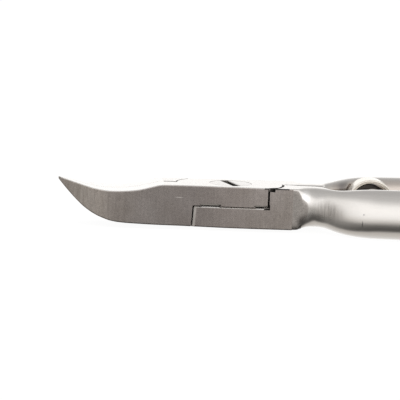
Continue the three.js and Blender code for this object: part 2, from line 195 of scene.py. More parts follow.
def turned(name, profile, segments, x=0.0, y=0.0):
    """Closed body turned about Z; the profile's first and last rows lie on the axis."""
    verts, faces = [], []
    rows = []
    for r, z in profile:
        if r == 0:
            rows.append([len(verts)])
            verts.append((x, y, z))
        else:
            rows.append(list(range(len(verts), len(verts) + segments)))
            verts += [
                (x + r * math.cos(2 * math.pi * i / segments), y + r * math.sin(2 * math.pi * i / segments), z)
                for i in range(segments)
            ]
    for a, b in zip(rows, rows[1:]):
        for i in range(segments):
            j = (i + 1) % segments
            if len(a) == 1 and len(b) > 1:
                faces.append((a[0], b[i], b[j]))
            elif len(b) == 1 and len(a) > 1:
                faces.append((a[i], a[j], b[0]))
            elif len(a) > 1:
                faces.append((a[i], a[j], b[j], b[i]))
    return mesh_object(name, verts, faces)


def turned_y(name, profile, segments, x):
    ob = turned(name, profile, segments)
    ob.data.transform(Matrix.Translation((x, 0, SPRING_Z)) @ Matrix.Rotation(-math.pi / 2, 4, "X"))
    return ob


def boolean(a, b, operation, solver="MANIFOLD", keep=False):
    m = a.modifiers.new("cut", "BOOLEAN")
    m.object, m.operation, m.solver = b, operation, solver
    dg = bpy.context.evaluated_depsgraph_get()
    me = bpy.data.meshes.new_from_object(a.evaluated_get(dg))
    a.modifiers.clear()
    old = a.data
    a.data = me
    bpy.data.meshes.remove(old)
    if not keep:
        bpy.data.objects.remove(b)
    return a


def join_cut(a, b):
    return boolean(a, b, "UNION")


def cut(a, b):
    return boolean(a, b, "DIFFERENCE")


def common(a, b):
    return boolean(a, b, "INTERSECT")


# ------------------------------------------------------------------ jaws and joint block
def rounded(cx, cz, r, start, end, steps):
    return [
        (cx + r * math.cos(math.radians(start + (end - start) * i / steps)),
         cz + r * math.sin(math.radians(start + (end - start) * i / steps)))
        for i in range(steps + 1)
    ]


def head_ring(x):
    w, top, low = HALF_WIDTH(x), TOP(x), BOTTOM(x)
    c = min(0.13, 0.2 * w, 0.18 * (top - low))
    d = min(0.16, 0.3 * w, 0.22 * (top - low))
    k = min(0.07, 0.1 * w)  # rows close beside each rounded edge keep the flats flat
    pts = [(w, top - c - k)] + rounded(w - c, top - c, c, 0, 90, 4) + [(w - c - k, top)]
    pts += [(w * f, top) for f in (0.7, 0.4, 0.12, -0.12, -0.4, -0.7)]
    pts += [(-w + c + k, top)] + rounded(-w + c, top - c, c, 90, 180, 4) + [(-w, top - c - k)]
    pts += [(-w, low + (top - low) * f) for f in (0.66, 0.4)]
    pts += [(-w, low + d + k)] + rounded(-w + d, low + d, d, 180, 270, 4) + [(-w + d + k, low)]
    pts += [(w * f, low) for f in (-0.5, 0.0, 0.5)]
    pts += [(w - d - k, low)] + rounded(w - d, low + d, d, 270, 360, 4) + [(w, low + d + k)]
    pts += [(w, low + (top - low) * f) for f in (0.4, 0.66)]
    return [(x, y, z) for y, z in pts]


def stations(parts):
    out = []
    for a, b, step in parts:
        n = max(1, round((b - a) / step))
        out += [a + (b - a) * i / n for i in range(n)]
    return out + [parts[-1][1]]


def head_block(name, x0=TIP_X, x1=9.6):
    xs = [x for x in stations([(-27.5, -19.0, 0.14), (-19.0, -9.4, 0.22), (-9.4, 9.6, 0.3)]) if x0 <= x <= x1]
    return loft(name, [head_ring(x) for x in xs])


def handle_rings(side, spans):
    inner, outer, top, bottom, ni, no = HANDLE
    n = 96
    rings = []
    for x in spans:
        a, b = inner(x), outer(x)
        mid, half, z0 = (a + b) / 2, (b - a) / 2, EQUATOR(x)
        zt, zb, pi_, po = top(x), bottom(x), ni(x), no(x)
        sharper = min(max((11.2 - x) / 1.6, 0.0), 1.0)  # the top edges beside the joint block are crisper
        ring = []
        for i in range(n):
            t = 2 * math.pi * (i + 0.5) / n
            # spread the points evenly round squarer sections
            t -= 0.16 * math.sin(4 * t) * min(1.0, max(0.0, (max(pi_, po) - 2.2) / 6))
            c, s = math.cos(t), math.sin(t)
            e = pi_ if c < 0 else po
            if s > 0:
                e *= 1 + 0.9 * sharper
            y = mid + half * math.copysign(abs(c) ** (2 / e), c)
            lift = math.copysign(abs(s) ** (2 / e), s)
            ring.append((x, side * y, z0 + ((zt - z0) if s > 0 else (z0 - zb)) * lift))
        rings.append(ring)
    return rings


HANDLE_SPANS = stations([
    (8.6, 10.0, 0.35), (10.0, 16.2, 0.09), (16.2, 26.0, 0.16), (26.0, 92.0, 0.75), (92.0, 98.2, 0.3), (98.2, 99.5, 0.07),
])


def arc(r, a, b, steps):
    return [
        (r * math.cos(math.radians(a + (b - a) * i / steps)), r * math.sin(math.radians(a + (b - a) * i / steps)))
        for i in range(steps + 1)
    ]


def upper_plan(front, rear, corner):
    """The upper lap's outline. Round the front it comes nearer the pivot away from the centre line, so it opens freely."""
    lead = []
    for i, (x, y) in enumerate(arc(front, 180, 90, 60)):
        u = min(max((i * 1.5 - 2) / 30, 0.0), 1.0)
        k = 1 - 0.1 * u * u * (3 - 2 * u)
        lead.append((x * k, y * k))
    return (
        lead
        + [(rear, front * 0.9)]
        + arc(rear, 0, -27.5, 16)
        + [(corner + 0.35, -4.45), (corner + 0.06, -4.72), (corner, -5.0), (corner, -12), (-front, -12)]
    )


def lower_cone(name, extra, top, low):
    """The round end of the lower lap, a little wider towards the underside, with a small chamfer at its upper edge."""
    k = (LOW_R_BOTTOM - LOW_R_TOP) / 3.2
    rows = [(0, low), (LOW_R_TOP + extra + k * abs(low), low)]
    if extra == 0:
        rows += [(LOW_R_TOP + k * 0.3, top - 0.14), (LOW_R_TOP - 0.12, top)]
    else:
        rows += [(LOW_R_TOP + extra, top)]
    rows += [(0, top)]
    return turned(name, rows, 160)


def lap_halves():
    big = 30
    # upper half: near jaw, upper lap, far shoulder
    a = head_block("upper_work")
    sel = box("s", -big, 0.5, -big, -MID_GAP, -big, big)
    sel = join_cut(sel, box("s2", -0.5, big, MID_GAP, big, -big, big))
    sel = cut(sel, lower_cone("s3", 0.3, LAP_GAP, -8))
    sel = join_cut(sel, prism("s4", upper_plan(8.55, 8.25, CORNER_X), LAP_GAP, big))
    a = common(a, sel)
    # lower half: far jaw, lower lap, near shoulder
    b = head_block("lower_work")
    sel = box("t", -big, 0.5, MID_GAP, big, -big, big)
    sel = join_cut(sel, box("t2", -0.5, big, -big, -MID_GAP, -big, big))
    sel = cut(sel, prism("t3", upper_plan(8.78, 8.5, CORNER_X + 0.32), -LAP_GAP, big))
    sel = join_cut(sel, lower_cone("t4", 0, -LAP_GAP, -8))
    b = common(b, sel)
    return a, b


def hollow(name):
    rows = [
        (-25.6, 0.08), (-24.6, 0.35), (-23.2, 0.8), (-21.4, 1.25), (-19.0, 1.6), (-15.0, 1.7), (-12.6, 1.45),
        (-11.2, 0.95), (-10.5, 0.45), (-10.3, 0.12),
    ]
    width = Curve([[x, w] for x, w in rows])
    rings = []
    for x in stations([(-25.6, -10.3, 0.3)]):
        w, top, low = width(x), TOP(x), BOTTOM(x)
        apex = top - 0.4 - 0.1 * w
        ring = [(x, -w, low - 1), (x, w, low - 1)]
        for i in range(9):
            t = math.pi * i / 8
            ring.append((x, w * math.cos(t), apex - 0.9 * w + 0.9 * w * math.sin(t)))
        rings.append(ring)
    return loft(name, rings)


def hole_z(r, z0, z1, x, y, n=64):
    return turned("hole", [(0, z0), (r, z0), (r, z1), (0, z1)], n, x, y)


def hole_y(r, y0, y1, x, n=64):
    return turned_y("hole", [(0, y0), (r, y0), (r, y1), (0, y1)], n, x)


def chamfer_x(name, x0, x1, y_of, z, size, up):
    """A long thin cutter that breaks an edge running along X at height z on the near or far face."""
    rings = []
    for x in stations([(x0, x1, 0.6)]):
        y = y_of(x)
        s = math.copysign(1, y)
        rings.append([
            (x, y - s * size, z - up * 0.02),
            (x, y + s * 0.6, z - up * 0.02),
            (x, y + s * 0.6, z + up * (size + 0.62)),
            (x, y + s * 0.02, z + up * (size + 0.02)),
        ])
    return loft(name, rings)


upper, lower = lap_halves()

# the lower lap's long upper edge on the near side is broken with a small chamfer
lower = cut(lower, chamfer_x("c1", -7.2, CORNER_X + 0.2, lambda x: -HALF_WIDTH(x), -LAP_GAP, 0.2, -1))
lower = cut(lower, box("n", 0, NOTCH_X, -12, -3.2, 2.62, 10))
far = loft("upper_handle", handle_rings(1, HANDLE_SPANS))
near = loft("lower_handle", handle_rings(-1, HANDLE_SPANS))
upper = join_cut(upper, far)
lower = join_cut(lower, near)
upper = cut(upper, hollow("h1"))
lower = cut(lower, hollow("h2"))
lower = cut(lower, box("n", 0, NOTCH_X, -12, -3.2, 2.62, 10))
recess = prism("r", upper_plan(8.78, 8.5, CORNER_X + 0.32), -LAP_GAP, 30)
lower = cut(lower, recess)
upper = cut(upper, lower_cone("r2", 0.3, LAP_GAP, -8))

# the joint's worn edges: wider stretches of the long gap and shallow grooves where the parting line shows on top; their
# faces carry painted shade
def wedge(name, x0, x1, y0, y1, z0, z1, taper):
    return loft(name, [[(x, y0, z0 + d), (x, y1, z0 + d), (x, y1, z1 - d), (x, y0, z1 - d)] for x, d in ((x0, taper), (x0 + 0.4, 0), (x1 - 0.4, 0), (x1, taper))])


def groove(name, points, width, depth):
    """A shallow V cut along points on the joint's flat top."""
    rings = []
    for i, (x, y) in enumerate(points):
        a, b = points[max(i - 1, 0)], points[min(i + 1, len(points) - 1)]
        u = np.array([b[0] - a[0], b[1] - a[1]])
        v = np.array([-u[1], u[0]]) / np.hypot(*u) * width / 2
        rings.append([(x - v[0], y - v[1], HEAD_Z + 0.002), (x, y, HEAD_Z - depth), (x + v[0], y + v[1], HEAD_Z + 0.002), (x, y, HEAD_Z + 0.6)])
    return loft(name, rings)


upper = cut(upper, wedge("w1", -5.1, -1.7, -5.4, -3.7, 0.02, 0.42, 0.18))
upper = cut(upper, wedge("w2", 3.5, 5.9, -5.4, -3.7, 0.02, 0.42, 0.18))
lower = cut(lower, box("w3", CORNER_X - 0.5, CORNER_X + 0.42, -5.4, -3.6, -LAP_GAP - 0.25, 0.6))
# the round front of the lower lap is broken where it meets the near side
rings = []
for z in (-4.0, -0.02):
    r = LOW_R_TOP + (LOW_R_BOTTOM - LOW_R_TOP) * abs(z) / 3.2
    w = HALF_WIDTH(-5.8)
    xc = -math.sqrt(r * r - w * w)
    a = math.atan2(-w, xc) - 0.24 / r
    rings.append([(xc + 0.26, -w - 0.02, z), (xc + 0.26, -w - 0.6, z), (xc - 0.5, -w - 0.6, z), (xc - 0.5, r * math.sin(a), z), (r * math.cos(a), r * math.sin(a), z)])
lower = cut(lower, loft("c2", rings))
for name in ("upper", "lower"):
    front_groove = groove("g1", [(-10.7, 0.0), (-10.2, 0.0), (-9.4, 0.0), (-8.56, 0.0)], 0.5, 0.16)
    rear_groove = groove("g2", [(8.55, 0.0), (10.0, 0.0), (12.0, 0.0), (14.2, 0.0)], 0.32, 0.14)
    if name == "upper":
        upper = cut(cut(upper, front_groove), rear_groove)
    else:
        lower = cut(cut(lower, front_groove), rear_groove)
rear_arc = [(8.38 * math.cos(math.radians(t)), 8.38 * math.sin(math.radians(t))) for t in (-6, -9, -12, -16, -20, -24, -27)]
rear_arc += [(7.15, -4.25), (6.85, -4.7), (6.7, -5.1)]
lower = cut(lower, groove("g3", rear_arc, 0.62, 0.3))
upper = cut(upper, hole_z(2.27, -10, 10, 0, 0, 96))
lower = cut(lower, hole_z(2.27, -10, 10, 0, 0, 96))
upper = cut(upper, turned("hh", [(0, 1.33), (3.37, 1.33), (3.37, 3.17), (3.42, 3.22), (3.42, 9), (0, 9)], 128))
lower = cut(lower, turned("hb", [(0, -9), (2.5, -9), (2.5, -3.25), (2.2, -2.95), (0, -2.95)], 96))
upper = cut(upper, hole_y(4.15, 0, SEAT_Y, SPRING_X, 96))
lower = cut(lower, hole_y(2.0, -SEAT_Y, 0, SPRING_X, 96))
upper = cut(upper, hole_y(0.86, 0, SEAT_Y + 2.6, SPRING_X, 48))
lower = cut(lower, hole_y(0.86, -SEAT_Y - 2.6, 0, SPRING_X, 48))
upper = cut(upper, box("sl", 85, 110, 2, 20, -1.0, 1.0))
upper = cut(upper, box("sl", 78.9, 90, 2, 10.5, -1.0, 1.0))
lower = cut(lower, box("sl", 87, 110, -20, -2, -1.0, 1.0))
lower = cut(lower, box("sl", 77, 90, -9.2, -2, -1.0, 1.0))
upper = cut(upper, hole_z(1.27, -10, 10, LOCK_X, LOCK_Y, 48))
lower = cut(lower, hole_z(1.27, -10, 10, LOCK_X, -LOCK_Y, 48))

# a small round centre mark where the round shoulder meets the parting line
for name in ("upper", "lower"):
    mark = turned("mark", [(0, 3.02), (0.1, 3.05), (0.3, 3.22), (0.3, 4), (0, 4)], 32, 8.95, -0.05)
    if name == "upper":
        upper = cut(upper, mark)
    else:
        lower = cut(lower, mark)


# ------------------------------------------------------------------ materials
def node_tree(name):
    mat = bpy.data.materials.new(name)
    mat.use_nodes = True
    nt = mat.node_tree
    nt.nodes.clear()
    out = nt.nodes.new("ShaderNodeOutputMaterial")
    p = nt.nodes.new("ShaderNodeBsdfPrincipled")
    nt.links.new(p.outputs["BSDF"], out.inputs["Surface"])
    return mat, nt, p


def coords(nt, scale, rotation=(0, 0, 0), offset=(0, 0, 0)):
    """Object coordinates, in cycles per millimetre along each axis."""
    tc = nt.nodes.new("ShaderNodeTexCoord")
    mp = nt.nodes.new("ShaderNodeMapping")
    mp.inputs["Scale"].default_value = [s * 1000 for s in scale]
    mp.inputs["Rotation"].default_value = rotation
    mp.inputs["Location"].default_value = offset
    nt.links.new(tc.outputs["Object"], mp.inputs["Vector"])
    return mp.outputs["Vector"]


def noise(nt, vector, scale=1.0, detail=3.0, rough=0.55, distortion=0.0):
    n = nt.nodes.new("ShaderNodeTexNoise")
    n.inputs["Scale"].default_value = scale
    n.inputs["Detail"].default_value = detail
    n.inputs["Roughness"].default_value = rough
    n.inputs["Distortion"].default_value = distortion
    nt.links.new(vector, n.inputs["Vector"])
    return n.outputs["Fac"]


def ramp(nt, value, stops, mode="LINEAR"):
    r = nt.nodes.new("ShaderNodeValToRGB")
    r.color_ramp.interpolation = mode
    els = r.color_ramp.elements
    while len(els) > 1:
        els.remove(els[-1])
    for i, (pos, col) in enumerate(stops):
        e = els[0] if i == 0 else els.new(pos)
        e.position = pos
        c = col if hasattr(col, "__len__") else (col, col, col)
        e.color = (*c, 1)
    nt.links.new(value, r.inputs["Fac"])
    return r.outputs["Color"]


def math_node(nt, op, a, b=None):
    m = nt.nodes.new("ShaderNodeMath")
    m.operation = op
    for i, v in enumerate((a, b)):
        if v is None:
            continue
        if isinstance(v, (int, float)):
            m.inputs[i].default_value = v
        else:
            nt.links.new(v, m.inputs[i])
    return m.outputs[0]


def mix_colour(nt, kind, fac, a, b):
    m = nt.nodes.new("ShaderNodeMix")
    m.data_type = "RGBA"
    m.blend_type = kind
    for socket, v in ((m.inputs[0], fac), (m.inputs[6], a), (m.inputs[7], b)):
        if isinstance(v, (int, float)):
            socket.default_value = v
        elif isinstance(v, tuple):
            socket.default_value = (*v, 1)
        else:
            nt.links.new(v, socket)
    return m.outputs[2]


def map_range(nt, value, lo, hi, a, b):
    m = nt.nodes.new("ShaderNodeMapRange")
    m.inputs["From Min"].default_value = lo
    m.inputs["From Max"].default_value = hi
    m.inputs["To Min"].default_value = a
    m.inputs["To Max"].default_value = b
    nt.links.new(value, m.inputs["Value"])
    return m.outputs["Result"]


def bump(nt, p, height, distance, strength=1.0):
    b = nt.nodes.new("ShaderNodeBump")
    b.inputs["Distance"].default_value = distance
    b.inputs["Strength"].default_value = strength
    nt.links.new(height, b.inputs["Height"])
    nt.links.new(b.outputs["Normal"], p.inputs["Normal"])
    return b


def steel(name, base, dark, light, rough, grain, bump_mm, scratch=0.5, blotch=0.25, speckle=0.0):
    """Bare steel. base is its colour, dark and light the spread of the grain's tone, grain the cycles per millimetre along X, Y and Z,
    speckle the share of fine grain that runs in no direction."""
    mat, nt, p = node_tree(name)
    v = coords(nt, grain)
    g1 = noise(nt, v, 1.0, 4.0, 0.6)
    g2 = noise(nt, coords(nt, [g * 3.1 for g in grain], offset=(3.7, 1.1, 0.4)), 1.0, 2.0, 0.5)
    g = math_node(nt, "ADD", math_node(nt, "MULTIPLY", g1, 0.6), math_node(nt, "MULTIPLY", g2, 0.4))
    if speckle:
        g3 = noise(nt, coords(nt, (3.3, 3.3, 3.3), offset=(8.3, 0.7, 5.2)), 1.0, 5.0, 0.75)
        g = math_node(nt, "ADD", math_node(nt, "MULTIPLY", g, 1 - speckle), math_node(nt, "MULTIPLY", g3, speckle))
    cloud = noise(nt, coords(nt, (0.22, 0.22, 0.22), offset=(1.3, 4.2, 2.2)), 1.0, 3.0, 0.5)
    tone = ramp(nt, g, [(0.30, tuple(c * dark for c in base)), (0.70, tuple(min(1.0, c * light) for c in base))])
    tone = mix_colour(nt, "MULTIPLY", blotch, tone, ramp(nt, cloud, [(0.35, (0.78, 0.76, 0.73)), (0.65, (1.0, 1.0, 1.0))]))
    # a few long faint scratches at odd angles
    s1 = noise(nt, coords(nt, (0.12, 9.0, 9.0), rotation=(0.0, 0.35, 0.12), offset=(5.1, 2.0, 0.3)), 1.0, 1.0, 0.4)
    s2 = noise(nt, coords(nt, (7.0, 7.0, 0.16), rotation=(0.2, -0.5, 0.7), offset=(0.4, 6.0, 3.3)), 1.0, 1.0, 0.4)
    marks = math_node(nt, "ADD",
                      ramp(nt, s1, [(0.735, 0.0), (0.76, 1.0)]),
                      ramp(nt, s2, [(0.735, 0.0), (0.76, 1.0)]))
    marks = math_node(nt, "MULTIPLY", marks, scratch)
    tone = mix_colour(nt, "SCREEN", marks, tone, (0.25, 0.25, 0.25))
    nt.links.new(tone, p.inputs["Base Color"])
    p.inputs["Metallic"].default_value = 1.0
    r = map_range(nt, g, 0.3, 0.7, rough * 1.15, rough * 0.85)
    r = math_node(nt, "ADD", r, math_node(nt, "MULTIPLY", math_node(nt, "SUBTRACT", cloud, 0.5), rough * 0.3))
    nt.links.new(r, p.inputs["Roughness"])
    h = math_node(nt, "SUBTRACT", g, math_node(nt, "MULTIPLY", marks, 0.4))
    bump(nt, p, h, bump_mm / 1000)
    return mat


STEEL = (0.60, 0.575, 0.55)
MAT = {
    "brushed": steel("steel_brushed_side", (0.415, 0.382, 0.366), 0.66, 1.34, 0.27, (6.5, 0.9, 0.16), 0.007, scratch=0.35, blotch=0.5, speckle=0.55),
    "ground": steel("steel_ground_top", (0.72, 0.70, 0.68), 0.93, 1.08, 0.22, (5.0, 0.3, 1.0), 0.002, scratch=0.3, speckle=0.3),
    "hollow": steel("steel_hollow_ground", (0.76, 0.745, 0.73), 0.95, 1.05, 0.22, (4.5, 0.25, 1.0), 0.0012, scratch=0.2, blotch=0.12, speckle=0.3),
    "satin": steel("steel_satin_handle", (0.66, 0.64, 0.62), 0.93, 1.07, 0.19, (7.0, 7.0, 7.0), 0.0012, scratch=0.12, blotch=0.1),
    "machined": steel("steel_machined", (0.34, 0.32, 0.30), 0.85, 1.12, 0.36, (1.2, 6.0, 6.0), 0.006, scratch=0.2),
    # painted shade: the spring seat's dark base stands in for the shade inside the spring
    "seat": steel("steel_seat_painted_shade", (0.085, 0.075, 0.068), 0.85, 1.15, 0.45, (4.0, 4.0, 4.0), 0.004, scratch=0.2),
    # painted highlight along the lap's chamfered edge
    "edge": steel("steel_edge_painted_highlight", (0.93, 0.90, 0.87), 0.9, 1.05, 0.25, (4.0, 4.0, 4.0), 0.002, scratch=0.0),
    "corner": steel("steel_broken_corner", (0.42, 0.40, 0.385), 0.85, 1.15, 0.3, (4.0, 4.0, 4.0), 0.003, scratch=0.0),
    # painted shade on the head's rounded lower edges
    "under_edge": steel("steel_under_edge_painted_shade", (0.14, 0.13, 0.125), 0.8, 1.2, 0.35, (4.0, 4.0, 4.0), 0.004, scratch=0.0),
    # painted shade in the gaps, grooves and the screw's slot
    "gap": steel("steel_shaded_gap", (0.07, 0.064, 0.06), 0.85, 1.15, 0.55, (4.0, 4.0, 4.0), 0.004, scratch=0.0),
    # painted shade on the inner sides of the spring's turns
    "strip_inside": steel("steel_spring_strip_inside_painted_shade", (0.13, 0.105, 0.085), 0.8, 1.2, 0.4, (0.7, 5.0, 0.7), 0.004, scratch=0.1),
    "screw": steel("steel_screw", (0.68, 0.66, 0.64), 0.90, 1.08, 0.24, (6.0, 0.5, 2.0), 0.003, scratch=0.3),
    "strip": steel("steel_spring_strip", (0.84, 0.80, 0.73), 0.93, 1.07, 0.22, (0.7, 5.0, 0.7), 0.004, scratch=0.1, blotch=0.15),
    # painted shade: the studs are dark to stand for the shade inside the spring
    "stud": steel("steel_stud_painted_shade", (0.12, 0.11, 0.10), 0.85, 1.15, 0.42, (4.0, 4.0, 4.0), 0.004, scratch=0.2),
    "pin": steel("steel_turned_pin", (0.64, 0.62, 0.59), 0.90, 1.08, 0.28, (1.0, 1.0, 8.0), 0.004, scratch=0.2),
    "lever": steel("steel_lever_sheet", (0.62, 0.60, 0.575), 0.88, 1.10, 0.30, (0.35, 5.5, 5.5), 0.005, scratch=0.4),
}


def smoothstep(nt, value, lo, hi):
    m = nt.nodes.new("ShaderNodeMapRange")
    m.interpolation_type = "SMOOTHSTEP"
    m.inputs["From Min"].default_value = lo
    m.inputs["From Max"].default_value = hi
    nt.links.new(value, m.inputs["Value"])
    return m.outputs["Result"]


def finish_satin(mat):
    """The satin handles fade to the brushed finish where the block's flat side runs out; their inner faces carry
    painted shade, darker and warm, deepest beside the spring, and the neck carries painted highlight and painted shade.
    """
    nt = mat.node_tree
    p = next(n for n in nt.nodes if n.type == "BSDF_PRINCIPLED")
    base = p.inputs["Base Color"].links[0].from_socket
    rough = p.inputs["Roughness"].links[0].from_socket
    tc = nt.nodes.new("ShaderNodeTexCoord")
    pos = nt.nodes.new("ShaderNodeSeparateXYZ")
    nrm = nt.nodes.new("ShaderNodeSeparateXYZ")
    nt.links.new(tc.outputs["Object"], pos.inputs[0])
    nt.links.new(tc.outputs["Normal"], nrm.inputs[0])
    flat = smoothstep(nt, math_node(nt, "ABSOLUTE", nrm.outputs["Y"]), 0.972, 0.990)
    ahead = smoothstep(nt, math_node(nt, "MULTIPLY", pos.outputs["X"], -1.0), (36.0 - 12.3) / 1000, (36.0 - 11.9) / 1000)
    flat = math_node(nt, "MULTIPLY", flat, ahead)
    grain = noise(nt, coords(nt, (3.3, 3.3, 3.3), offset=(8.3, 0.7, 5.2)), 1.0, 5.0, 0.75)
    side_tone = ramp(nt, grain, [(0.3, (0.31, 0.29, 0.275)), (0.7, (0.51, 0.48, 0.455))])
    base = mix_colour(nt, "MIX", flat, base, side_tone)
    # painted shade on the handles' inner faces, darkest beside the spring as if in its shadow
    inward = math_node(nt, "MULTIPLY", math_node(nt, "MULTIPLY", nrm.outputs["Y"], -1.0), math_node(nt, "SIGN", pos.outputs["Y"]))
    inward = smoothstep(nt, inward, 0.25, 0.95)
    inward = math_node(nt, "MULTIPLY", inward, smoothstep(nt, pos.outputs["X"], (14.0 - 36.0) / 1000, (17.0 - 36.0) / 1000))
    base = mix_colour(nt, "MULTIPLY", inward, base, along(nt, pos, [
        [13.5, (0.40, 0.34, 0.30)], [16.4, (0.72, 0.65, 0.60)], [17.4, (0.50, 0.45, 0.42)], [18.4, (0.24, 0.22, 0.22)], [19.0, (0.3, 0.28, 0.27)],
        [20.0, (0.8, 0.75, 0.7)], [26.4, (0.84, 0.78, 0.74)], [34.0, (0.86, 0.80, 0.76)], [99.5, (0.8, 0.75, 0.71)],
    ]))
    # the neck was dressed across by hand: a rougher patch with fine upright lines, darkened with painted shade
    lines = noise(nt, coords(nt, (5.2, 1.2, 0.35), offset=(4.1, 3.3, 0.9)), 1.0, 3.0, 0.6)
    dull = spot(nt, pos, 14.7, -0.05, 3.7, 2.2, 1.0, 0.2)
    base = mix_colour(nt, "MULTIPLY", dull, base, ramp(nt, lines, [(0.36, (0.54, 0.53, 0.52)), (0.64, (0.74, 0.73, 0.72))]))
    # a painted highlight on the rounding beside the shoulder, kept off the flat side
    round_part = math_node(nt, "SUBTRACT", 1.0, flat)
    bright = math_node(nt, "MULTIPLY", spot(nt, pos, 11.6, 1.9, 1.2, 2.1), round_part)
    base = mix_colour(nt, "SCREEN", bright, base, (0.75, 0.74, 0.73))
    # painted shade low on the neck's end, below the flat side
    base = mix_colour(nt, "MULTIPLY", math_node(nt, "MULTIPLY", spot(nt, pos, 11.1, -1.9, 1.2, 1.5), 0.85), base, (0.30, 0.29, 0.29))
    for cx, cz, rx, rz in ((20.35, 0.15, 0.2, 0.16), (20.2, -1.35, 0.12, 0.75)):
        base = mix_colour(nt, "MULTIPLY", math_node(nt, "MULTIPLY", spot(nt, pos, cx, cz, rx, rz), 0.8), base, (0.2, 0.2, 0.22))
    nt.links.new(base, p.inputs["Base Color"])
    rough = math_node(nt, "ADD", rough, math_node(nt, "MULTIPLY", flat, 0.08))
    rough = math_node(nt, "ADD", rough, math_node(nt, "MULTIPLY", dull, 0.1))
    nt.links.new(rough, p.inputs["Roughness"])


def spot(nt, pos, cx, cz, rx, rz, lo=1.0, hi=0.0):
    """A soft oval on the side faces: 1 in the middle, 0 outside."""
    dx = math_node(nt, "DIVIDE", math_node(nt, "SUBTRACT", pos.outputs["X"], (cx - 36.0) / 1000), rx / 1000)
    dz = math_node(nt, "DIVIDE", math_node(nt, "SUBTRACT", pos.outputs["Z"], (cz + 3.9) / 1000), rz / 1000)
    d = math_node(nt, "SQRT", math_node(nt, "ADD", math_node(nt, "POWER", dx, 2.0), math_node(nt, "POWER", dz, 2.0)))
    m = nt.nodes.new("ShaderNodeMapRange")
    m.interpolation_type = "SMOOTHSTEP"
    m.inputs["From Min"].default_value = hi
    m.inputs["From Max"].default_value = lo
    m.inputs["To Min"].default_value = 1.0
    m.inputs["To Max"].default_value = 0.0
    nt.links.new(d, m.inputs["Value"])
    return m.outputs["Result"]


def position(nt):
    tc = nt.nodes.new("ShaderNodeTexCoord")
    pos = nt.nodes.new("ShaderNodeSeparateXYZ")
    nt.links.new(tc.outputs["Object"], pos.inputs[0])
    return pos


def along(nt, pos, rows):
    """A tone that changes along the tool, from [x, value] rows."""
    t = map_range(nt, pos.outputs["X"], (rows[0][0] - 36.0) / 1000, (rows[-1][0] - 36.0) / 1000, 0.0, 1.0)
    a, b = rows[0][0], rows[-1][0]
    return ramp(nt, t, [((x - a) / (b - a), v) for x, v in rows], "EASE")


def finish_brushed(mat):
    """The side faces are lighter towards the blade, a painted reflection where the face turns toward the tip, a little
    lighter at the shoulder, and carry one long scratch.
    """
    nt = mat.node_tree
    p = next(n for n in nt.nodes if n.type == "BSDF_PRINCIPLED")
    base = p.inputs["Base Color"].links[0].from_socket
    pos = position(nt)
    # painted reflection lightens the blade end; the shoulder end is lighter too
    base = mix_colour(nt, "MULTIPLY", 1.0, base, along(nt, pos, [
        [-27.5, (0.98, 0.98, 0.96)], [-24, (1.0, 1.0, 0.97)], [-21.2, (0.98, 0.97, 0.94)], [-18.7, (0.84, 0.83, 0.82)],
        [-13.0, (0.76, 0.755, 0.76)], [-6.0, (0.76, 0.75, 0.76)], [0.5, (0.92, 0.90, 0.90)], [4.5, (1.0, 0.99, 0.99)],
        [9.0, (1.0, 0.99, 0.98)],
    ]))
    streak = noise(nt, coords(nt, (2.6, 0.4, 0.11), offset=(2.1, 0.2, 7.7)), 1.0, 3.0, 0.6)
    blade = along(nt, pos, [[-27.5, 0.75], [-22.0, 0.75], [-17.0, 0.3], [-10.0, 0.12], [9.0, 0.12]])
    base = mix_colour(nt, "MULTIPLY", blade, base, ramp(nt, streak, [(0.36, (0.76, 0.75, 0.74)), (0.5, (0.95, 0.95, 0.95)), (0.64, (1.0, 1.0, 1.0))]))
    base = mix_colour(nt, "SCREEN", spot(nt, pos, -8.4, 1.26, 0.95, 0.10), base, (0.5, 0.48, 0.46))

    nt.links.new(base, p.inputs["Base Color"])


def finish_seat(mat):
    """Round the spring's foot the spot face is painted dark as shade; outside the ring it takes the painted-shade tone
    of the rest of the handle's inner face.
    """
    nt = mat.node_tree
    p = next(n for n in nt.nodes if n.type == "BSDF_PRINCIPLED")
    base = p.inputs["Base Color"].links[0].from_socket
    pos = position(nt)
    inside = spot(nt, pos, SPRING_X, SPRING_Z, 3.7, 3.7, 1.0, 0.9)
    base = mix_colour(nt, "MIX", inside, (0.34, 0.29, 0.255), base)
    nt.links.new(base, p.inputs["Base Color"])


finish_brushed(MAT["brushed"])
finish_seat(MAT["seat"])
finish_satin(MAT["satin"])


# ------------------------------------------------------------------ finishing
def to_row(ob):
    ob.data.transform(Matrix.Translation(Vector(-OFF) / 1000) @ Matrix.Scale(0.001, 4))
    ob.data.update()


def smooth(ob, angle=30.0, weighted=True):
    bm = bmesh.new()
    bm.from_mesh(ob.data)
    bmesh.ops.remove_doubles(bm, verts=bm.verts, dist=2e-7)
    bmesh.ops.dissolve_degenerate(bm, edges=bm.edges, dist=1e-7)
    for f in bm.faces:
        f.smooth = True
    limit = math.radians(angle)
    for e in bm.edges:
        e.smooth = len(e.link_faces) == 2 and e.calc_face_angle(0.0) < limit
    bm.to_mesh(ob.data)
    bm.free()
    if weighted:
        m = ob.modifiers.new("normals", "WEIGHTED_NORMAL")
        m.mode = "FACE_AREA"
        m.keep_sharp = True


def place(ob, name, body, nodes):
    ob.name = name
    ob.data.name = name
    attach(ob, body)
    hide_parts(*nodes)
    return ob


